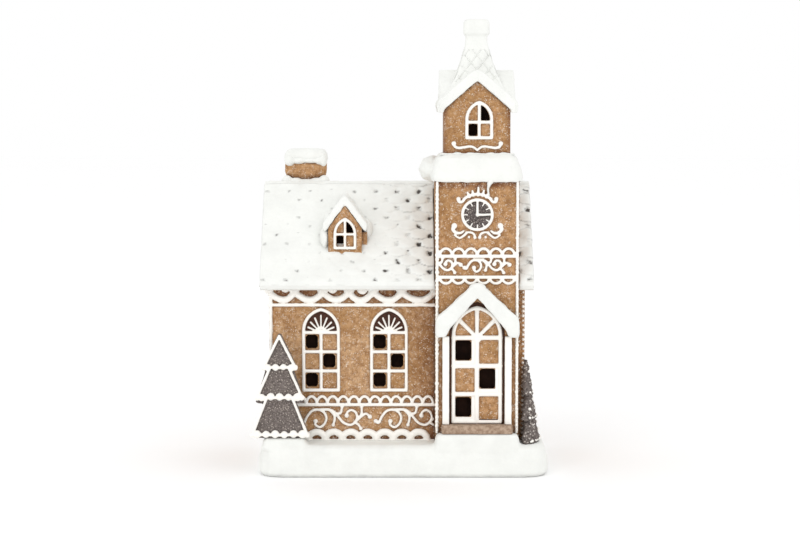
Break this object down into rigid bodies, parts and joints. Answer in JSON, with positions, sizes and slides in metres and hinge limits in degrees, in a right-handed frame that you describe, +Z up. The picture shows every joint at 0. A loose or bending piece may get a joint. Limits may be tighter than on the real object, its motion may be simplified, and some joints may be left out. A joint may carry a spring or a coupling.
{
  "type": "lighted gingerbread house",
  "caption": "Battery-lit gingerbread house like a small church, with snowy roofs, clock tower, belfry, piped icing and cookie trees on a snow base.",
  "frame": {"origin": "on the table, under the middle of the whole outline", "axes": "+Z up along the tower, -Y out of the front with the door, +X to the right seen from the front"},
  "size_m": [0.188, 0.128, 0.2867],
  "materials": {
    "gingerbread": "matte, crumbly",
    "snow": "matte, sparkling",
    "icing": "satin",
    "cookie": "matte, speckled",
    "clock": "matte",
    "step": "matte",
    "white_plastic": "satin",
    "black_plastic": "satin",
    "steel": "bright",
    "lamp": "clear, warm",
    "cell": "satin"
  },
  "bodies": {
    "house": {"nave_front_wall": "gingerbread", "nave_back_wall": "gingerbread", "nave_left_wall": "gingerbread", "nave_right_wall": "gingerbread", "dormer": "gingerbread", "chimney": "gingerbread", "tower_front": "gingerbread", "tower_back": "gingerbread", "tower_left": "gingerbread", "tower_right": "gingerbread", "belfry": "gingerbread", "snow_base": "snow", "roof_front": "snow", "roof_back": "snow", "dormer_snow": "snow", "chimney_snow": "snow", "snow_scallops": "snow", "porch_snow": "snow", "ledge_snow": "snow", "spire": "snow", "belfry_roof": "snow", "spire_cap": "snow", "dormer_window": "icing", "eave_swags": "icing", "lower_icing_band": "icing", "window_left": "icing", "window_right": "icing", "back_icing": "icing", "tower_icing": "icing", "clock_icing": "icing", "clock_crown": "icing", "clock_scrolls": "icing", "door": "icing", "porch_pillar_left": "icing", "porch_pillar_right": "icing", "belfry_window": "icing", "belfry_swirl": "icing", "tree_left_icing": "icing", "tree_right_icing": "icing", "tree_left": "cookie", "tree_right": "cookie", "clock_face": "clock", "doorstep": "step", "nave_led_holder": "white_plastic", "tower_led_holder": "white_plastic", "battery_box": "black_plastic", "switch_body": "black_plastic", "light_leads": "black_plastic", "contact_bridge": "steel", "contact_positive": "steel", "contact_negative": "steel", "box_screw_1": "steel", "box_screw_2": "steel", "nave_led": "lamp", "tower_led": "lamp", "battery_cell_1": "cell", "battery_cell_2": "cell"},
    "cover": {"battery_cover": "black_plastic"},
    "slider": {"switch_slider": "white_plastic"}
  },
  "joints": [
    {"name": "cover_lift", "type": "slide", "parent": "house", "child": "cover", "axis": [0, 0, -1], "range_m": [0, 0.016]},
    {"name": "power_switch", "type": "slide", "parent": "house", "child": "slider", "axis": [1, 0, 0], "range_m": [0, 0.0034]}
  ]
}
